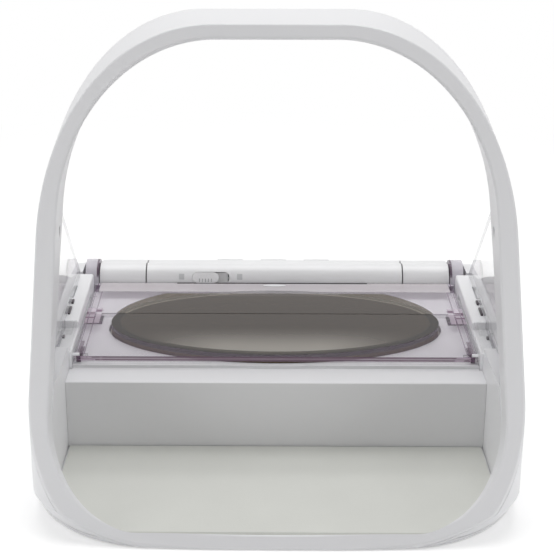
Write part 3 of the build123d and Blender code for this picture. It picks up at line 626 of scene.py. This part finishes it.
# a dark strip as painted shadow, standing for the shaded gap between the lid's rear edge and the bar
strip = box_between("painted_shadow_strip", (-55.5, 42.95, 49.75), (53.0, 43.45, 50.45))
bevelled(strip, 0.15)
settle(strip, clip_plastic, "feeder")

bead = primitive("deck_bead", bpy.ops.mesh.primitive_cylinder_add, vertices=20, radius=0.7 * MM, depth=203.6 * MM,
                 location=(0, -58.95 * MM, 46.0 * MM), rotation=(0, math.pi / 2, 0))
bevelled(bead, 0.25)
settle(bead, white_shell, "feeder")

# %% White pad on the lid
pad = primitive("lid_pad", bpy.ops.mesh.primitive_cylinder_add, vertices=40, radius=1.0 * MM, depth=0.3 * MM,
                location=(0, 38.6 * MM, 50.66 * MM))
pad.scale = (6.6, 1.4, 1.0)
bevelled(pad, 0.1)
settle(pad, white_shell, "lid_rear")

# %% Clips of the side shields
for name, side_sign in (("clip_left", -1), ("clip_right", 1)):
    for part, place, length, base in (("rear", -4.5, 5.0, 57.5), ("middle", -17.0, 9.5, 57.5), ("front", -43.5, 3.0, 53.8)):
        low_x, high_x = sorted((side_sign * 108.2, side_sign * 109.5))
        clip = box_between(f"{name}_{part}", (low_x, place - length / 2, base), (high_x, place + length / 2, base + 1.1))
        bevelled(clip, 0.25)
        settle(clip, clip_plastic, "feeder")

# %% [markdown]
# ## Table, lamps and camera
# The photograph is a product on white. A white floor that keeps the soft shadow, a big lamp overhead and
# four at the sides, a high and a low one on each, give that look. The camera stands 0.7 m in front,
# looking down by 21 degrees.

# %% Floor and background
bpy.ops.object.select_all(action="DESELECT")
bpy.ops.mesh.primitive_plane_add(size=6.0, location=(0, 0, 0))
floor = bpy.context.active_object
floor.name = "floor"
material, wire = start_material("floor_white")
_, (x, y, z) = object_place(wire)
distance = wire.maths("SQRT", x * x + y * y)
away = distance.above(0.42, 0.20)
camera_ray = wire.node("ShaderNodeLightPath", out=0)
glossy_ray = wire.node("ShaderNodeLightPath", out=3)
through_ray = wire.node("ShaderNodeLightPath", out=6)
seen = wire.maths("MAXIMUM", camera_ray, wire.maths("MAXIMUM", glossy_ray, through_ray))
diffuse = wire.node("ShaderNodeBsdfDiffuse", None, {"Color": (0.9, 0.9, 0.9, 1)})
lift = wire.node("ShaderNodeEmission", None, {"Color": (1, 1, 1, 1), "Strength": 0.35})
lit = wire.node("ShaderNodeAddShader", None, {0: diffuse, 1: lift})
blank = wire.node("ShaderNodeEmission", None, {"Color": (1, 1, 1, 1), "Strength": 1.0})
shown = wire.node("ShaderNodeMixShader", None, {0: away, 1: lit, 2: blank})
floor.data.materials.append(end_material(material, wire.node("ShaderNodeMixShader", None, {0: seen, 1: diffuse, 2: shown})))

world = bpy.data.worlds.new("studio")
bpy.context.scene.world = world
world.use_nodes = True
world.node_tree.nodes.clear()
sky = Wire(world.node_tree)
camera_ray = sky.node("ShaderNodeLightPath", out=0)
glossy_ray = sky.node("ShaderNodeLightPath", out=3)
through_ray = sky.node("ShaderNodeLightPath", out=6)
seen = sky.maths("MAXIMUM", camera_ray, sky.maths("MAXIMUM", glossy_ray, through_ray))
dim = sky.node("ShaderNodeBackground", None, {"Color": (1, 1, 1, 1), "Strength": 0.30})
white = sky.node("ShaderNodeBackground", None, {"Color": (1, 1, 1, 1), "Strength": 1.0})
studio = sky.node("ShaderNodeMixShader", None, {0: seen, 1: dim, 2: white})
studio.node("ShaderNodeOutputWorld", None, {"Surface": studio})

# %% Lamps


def lamp(name, place, target, size, watts):
    """Square soft lamp that faces a point."""
    data = bpy.data.lights.new(name, "AREA")
    data.size = size
    data.energy = watts
    made = bpy.data.objects.new(name, data)
    bpy.context.scene.collection.objects.link(made)
    made.location = place
    made.rotation_euler = (Vector(target) - Vector(place)).to_track_quat("-Z", "Y").to_euler()
    return made


lamp("overhead", (0.0, 0.35, 1.2), (0, 0.0, 0.05), 1.0, 9.2)
for side_name, side_sign in (("left", -1), ("right", 1)):
    lamp(side_name + "_side", (side_sign * 0.9, -0.5, 0.45), (0, 0, 0.08), 0.6, 0.5)
    lamp(side_name + "_low", (side_sign * 0.42, -0.3, 0.08), (side_sign * 0.1, -0.05, 0.09), 0.2, 0.4)
bpy.context.scene.view_settings.view_transform = "Standard"

# %% Camera
camera_data = bpy.data.cameras.new("camera")
camera_data.sensor_width = 36.0
camera_data.lens = 36.0 * 1400 / 554
camera = bpy.data.objects.new("camera", camera_data)
bpy.context.scene.collection.objects.link(camera)
camera.rotation_mode = "XYZ"
camera.location = (-6.6 * MM, -703 * MM, 342 * MM)
camera.rotation_euler = (math.radians(90 - 21.1), 0.0, math.radians(0.54))
camera_data.shift_x = 0.048
bpy.context.scene.camera = camera
